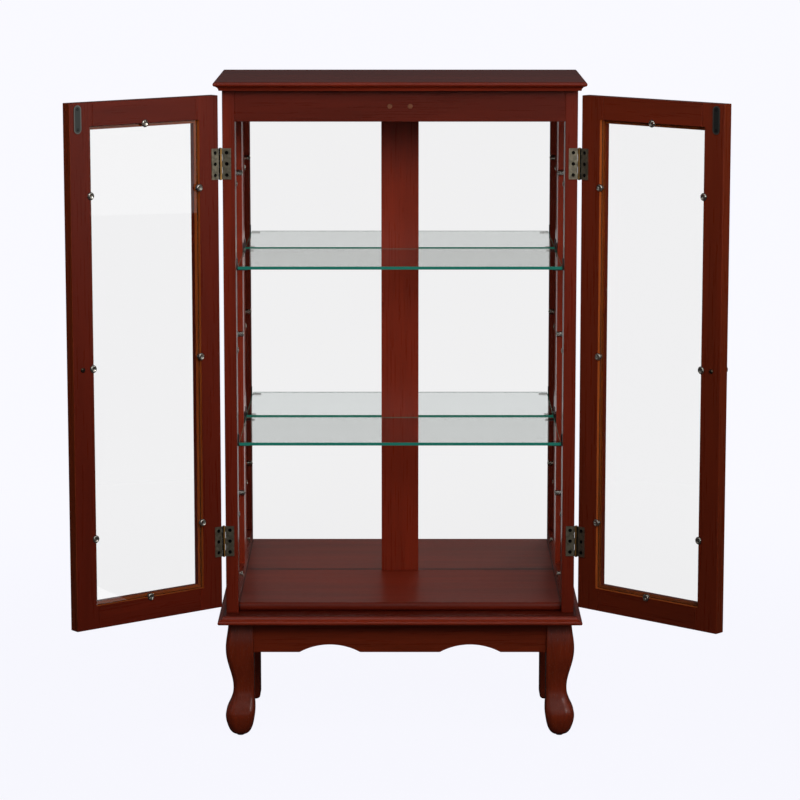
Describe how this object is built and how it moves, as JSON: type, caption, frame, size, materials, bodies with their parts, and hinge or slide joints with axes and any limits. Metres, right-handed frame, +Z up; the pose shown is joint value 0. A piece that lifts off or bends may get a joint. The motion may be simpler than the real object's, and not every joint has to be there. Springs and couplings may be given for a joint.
{
  "type": "display cabinet",
  "caption": "Free-standing curio cabinet on cabriole front legs, with hinged glazed doors, glazed sides, glass shelves and a mirrored back.",
  "frame": {"origin": "on the floor, under the middle of the carcass's width and depth", "axes": "+Z up, +Y from the doors to the mirrored back, +X to the right of someone facing the doors"},
  "size_m": [1.0415, 0.4755, 1.082],
  "materials": {
    "mahogany": "dark red-brown mahogany lacquer, satin",
    "clear_glass": "clear float glass",
    "shelf_glass": "clear float glass with green polished edges",
    "mirror": "silvered mirror glass",
    "antique_brass": "antiqued brass, satin",
    "knob_brass": "antiqued brass, polished by handling",
    "nickel": "nickel plated, satin",
    "dark_steel": "blackened steel, satin",
    "black_metal": "black enamelled steel",
    "brown_plastic": "moulded brown plastic",
    "back_board": "smooth brown hardboard",
    "glide_plastic": "moulded dark plastic"
  },
  "bodies": {
    "cabinet": {"top_board": "mahogany", "base_board": "mahogany", "floor_board": "mahogany", "front_apron": "mahogany", "left_apron": "mahogany", "right_apron": "mahogany", "rear_apron": "mahogany", "front_left_leg": "mahogany", "front_right_leg": "mahogany", "rear_left_leg": "mahogany", "rear_right_leg": "mahogany", "front_top_rail": "mahogany", "mirror_center_stile": "mahogany", "left_side_front_stile": "mahogany", "left_side_rear_stile": "mahogany", "left_side_top_rail": "mahogany", "left_side_bottom_rail": "mahogany", "right_side_front_stile": "mahogany", "right_side_rear_stile": "mahogany", "right_side_top_rail": "mahogany", "right_side_bottom_rail": "mahogany", "left_side_glass": "clear_glass", "right_side_glass": "clear_glass", "lower_shelf": "shelf_glass", "upper_shelf": "shelf_glass", "left_mirror": "mirror", "right_mirror": "mirror", "hinge_frame_leaves": "antique_brass", "hinge_pins": "antique_brass", "cabinet_screws": "antique_brass", "side_glass_clips": "nickel", "back_panel_screws": "dark_steel", "lower_shelf_brackets": "black_metal", "upper_shelf_brackets": "black_metal", "magnet_catches": "brown_plastic", "back_panel": "back_board", "foot_glides": "glide_plastic"},
    "left_door": {"left_door_hinge_stile": "mahogany", "left_door_free_stile": "mahogany", "left_door_top_rail": "mahogany", "left_door_bottom_rail": "mahogany", "left_door_glass": "clear_glass", "left_door_hinge_leaves": "antique_brass", "left_door_screws": "antique_brass", "left_door_knob": "knob_brass", "left_door_glass_clips": "nickel", "left_door_knob_screw": "nickel", "left_door_strike_plate": "dark_steel"},
    "right_door": {"right_door_hinge_stile": "mahogany", "right_door_free_stile": "mahogany", "right_door_top_rail": "mahogany", "right_door_bottom_rail": "mahogany", "right_door_glass": "clear_glass", "right_door_hinge_leaves": "antique_brass", "right_door_screws": "antique_brass", "right_door_knob": "knob_brass", "right_door_glass_clips": "nickel", "right_door_knob_screw": "nickel", "right_door_strike_plate": "dark_steel"}
  },
  "joints": [
    {"name": "left_door_hinge", "type": "hinge", "parent": "cabinet", "child": "left_door", "pos_m": [-0.2879, -0.1427, 0.6405], "axis": [0, 0, -1], "range_deg": [-141, 37]},
    {"name": "right_door_hinge", "type": "hinge", "parent": "cabinet", "child": "right_door", "pos_m": [0.2879, -0.1427, 0.6405], "axis": [0, 0, 1], "range_deg": [-137.5, 40.5]}
  ]
}
